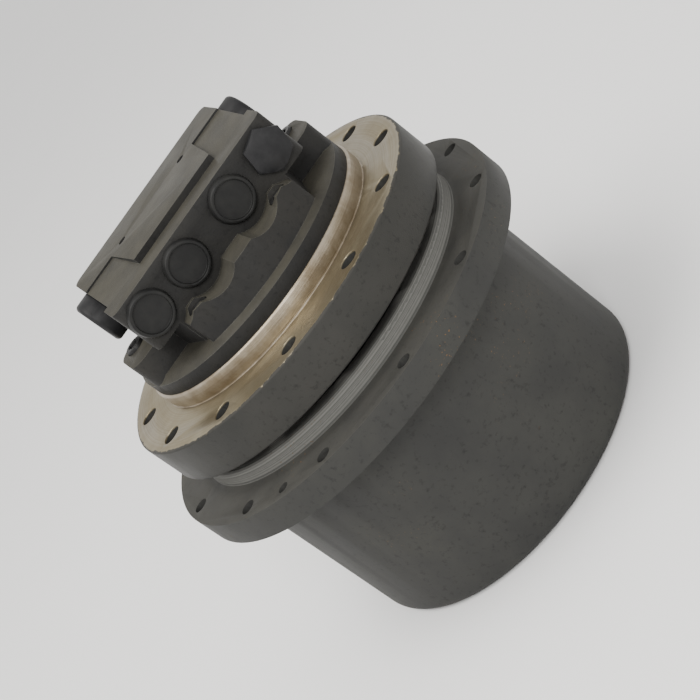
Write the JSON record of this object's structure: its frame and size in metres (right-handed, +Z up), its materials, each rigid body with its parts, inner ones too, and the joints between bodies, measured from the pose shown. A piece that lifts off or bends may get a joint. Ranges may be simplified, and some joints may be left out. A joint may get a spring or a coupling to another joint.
{
  "type": "excavator final drive",
  "caption": "Travel motor on a two-stage planetary hub: a round drum with a drilled sprocket flange, a drilled frame flange with pilot, and a port block across the top.",
  "frame": {"origin": "centre of the drum's rim and end cover, on the flat face that the drive stands on", "axes": "+Z up along the output axis, from the end cover to the motor's port block; -Y the side that the four ports face; +X to the right of the ports"},
  "size_m": [0.4, 0.4, 0.394],
  "materials": {
    "dark_paint": "satin dark charcoal paint over a casting",
    "machined_casting": "bare machined faces, warm grey",
    "gear_steel": "ground and oiled",
    "bearing_steel": "ground",
    "dark_screw": "black oxide",
    "zinc_plug": "zinc plated",
    "black_plug": "satin black",
    "cap_plastic": "moulded, satin",
    "bronze": "bearing bronze",
    "friction_lining": "friction lining on a steel disc",
    "seal_rubber": "matt"
  },
  "bodies": {
    "frame_side": {"spindle": "machined_casting", "rear_flange": "dark_paint", "rear_flange_seal": "seal_rubber", "rear_flange_screws": "dark_screw", "port_caps": "cap_plastic", "port_plug": "black_plug", "left_spool_cap": "black_plug", "right_spool_cap": "black_plug", "pin_support": "machined_casting", "pin_support_screws": "dark_screw", "stage_2_pins": "bearing_steel", "lower_bearing_cone": "bearing_steel", "upper_bearing_cone": "bearing_steel", "bearing_nut": "bearing_steel", "upper_seal_ring": "bearing_steel", "upper_toric_ring": "seal_rubber", "shaft_bearing_outer_rings": "bearing_steel", "shaft_seal": "seal_rubber", "valve_plate": "bronze", "brake_plates": "bearing_steel", "swash_cradle": "bearing_steel"},
    "hub": {"hub_casing": "dark_paint", "end_cover": "dark_paint", "cover_retaining_ring": "dark_screw", "cover_seal_ring": "seal_rubber", "oil_plugs": "zinc_plug", "thrust_pad": "bronze", "ring_gear": "gear_steel", "lower_bearing_cup": "bearing_steel", "upper_bearing_cup": "bearing_steel", "lower_seal_ring": "bearing_steel", "lower_toric_ring": "seal_rubber"},
    "lower_rollers": {"lower_bearing_rollers": "bearing_steel"},
    "upper_rollers": {"upper_bearing_rollers": "bearing_steel"},
    "first_carrier": {"carrier_1": "machined_casting", "sun_gear_2": "gear_steel", "stage_1_pins": "bearing_steel"},
    "rotor": {"sun_gear_1": "gear_steel", "motor_shaft": "gear_steel", "cylinder_block": "gear_steel", "pistons": "bearing_steel", "piston_shoes": "bronze", "shaft_bearing_inner_rings": "bearing_steel", "brake_friction_disc": "friction_lining"},
    "spool": {"counterbalance_spool": "bearing_steel"},
    "brake": {"brake_piston": "gear_steel"},
    "swash": {"swash_plate": "gear_steel"},
    "planet_1_1": {"planet_1_gear_1": "gear_steel", "planet_1_bush_1": "bronze"},
    "planet_2_1": {"planet_2_gear_1": "gear_steel", "planet_2_bush_1": "bronze"},
    "planet_1_2": {"planet_1_gear_2": "gear_steel", "planet_1_bush_2": "bronze"},
    "planet_2_2": {"planet_2_gear_2": "gear_steel", "planet_2_bush_2": "bronze"},
    "planet_1_3": {"planet_1_gear_3": "gear_steel", "planet_1_bush_3": "bronze"},
    "planet_2_3": {"planet_2_gear_3": "gear_steel", "planet_2_bush_3": "bronze"}
  },
  "joints": [
    {"name": "hub_spin", "type": "hinge", "parent": "frame_side", "child": "hub", "pos_m": [0, 0, 0], "axis": [0, 0, 1], "continuous": true},
    {"name": "first_carrier_spin", "type": "hinge", "parent": "frame_side", "child": "first_carrier", "pos_m": [0, 0, 0], "axis": [0, 0, 1], "continuous": true},
    {"name": "rotor_spin", "type": "hinge", "parent": "frame_side", "child": "rotor", "pos_m": [0, 0, 0], "axis": [0, 0, 1], "continuous": true},
    {"name": "planet_1_1_spin", "type": "hinge", "parent": "first_carrier", "child": "planet_1_1", "pos_m": [0.072, 0, 0], "axis": [0, 0, 1], "continuous": true},
    {"name": "planet_1_2_spin", "type": "hinge", "parent": "first_carrier", "child": "planet_1_2", "pos_m": [-0.036, 0.06235, 0], "axis": [0, 0, 1], "continuous": true},
    {"name": "planet_1_3_spin", "type": "hinge", "parent": "first_carrier", "child": "planet_1_3", "pos_m": [-0.036, -0.06235, 0], "axis": [0, 0, 1], "continuous": true},
    {"name": "planet_2_1_spin", "type": "hinge", "parent": "frame_side", "child": "planet_2_1", "pos_m": [0.078, 0, 0], "axis": [0, 0, 1], "continuous": true},
    {"name": "planet_2_2_spin", "type": "hinge", "parent": "frame_side", "child": "planet_2_2", "pos_m": [-0.039, 0.06755, 0], "axis": [0, 0, 1], "continuous": true},
    {"name": "planet_2_3_spin", "type": "hinge", "parent": "frame_side", "child": "planet_2_3", "pos_m": [-0.039, -0.06755, 0], "axis": [0, 0, 1], "continuous": true},
    {"name": "lower_rollers_spin", "type": "hinge", "parent": "frame_side", "child": "lower_rollers", "pos_m": [0, 0, 0], "axis": [0, 0, 1], "continuous": true},
    {"name": "upper_rollers_spin", "type": "hinge", "parent": "frame_side", "child": "upper_rollers", "pos_m": [0, 0, 0], "axis": [0, 0, 1], "continuous": true},
    {"name": "spool_slide", "type": "slide", "parent": "frame_side", "child": "spool", "axis": [1, 0, 0], "range_m": [-0.006, 0.006], "stiffness_N_per_m": 4000},
    {"name": "brake_release", "type": "slide", "parent": "frame_side", "child": "brake", "axis": [0, 0, 1], "range_m": [0, 0.002], "stiffness_N_per_m": 20000, "springref_m": -0.01},
    {"name": "speed_tilt", "type": "hinge", "parent": "frame_side", "child": "swash", "pos_m": [0, 0, 0.208], "axis": [1, 0, 0], "range_deg": [-6, 0], "stiffness_Nm_per_rad": 10, "springref_deg": 17.19}
  ],
  "couplings": [
    {"joint": "first_carrier_spin", "follows": "hub_spin", "ratio": -3.3333},
    {"joint": "rotor_spin", "follows": "hub_spin", "ratio": -25},
    {"joint": "planet_1_1_spin", "follows": "hub_spin", "ratio": 10.833},
    {"joint": "planet_1_2_spin", "follows": "hub_spin", "ratio": 10.833},
    {"joint": "planet_1_3_spin", "follows": "hub_spin", "ratio": 10.833},
    {"joint": "planet_2_1_spin", "follows": "hub_spin", "ratio": 2.8571},
    {"joint": "planet_2_2_spin", "follows": "hub_spin", "ratio": 2.8571},
    {"joint": "planet_2_3_spin", "follows": "hub_spin", "ratio": 2.8571},
    {"joint": "lower_rollers_spin", "follows": "hub_spin", "ratio": 0.522},
    {"joint": "upper_rollers_spin", "follows": "hub_spin", "ratio": 0.522}
  ]
}
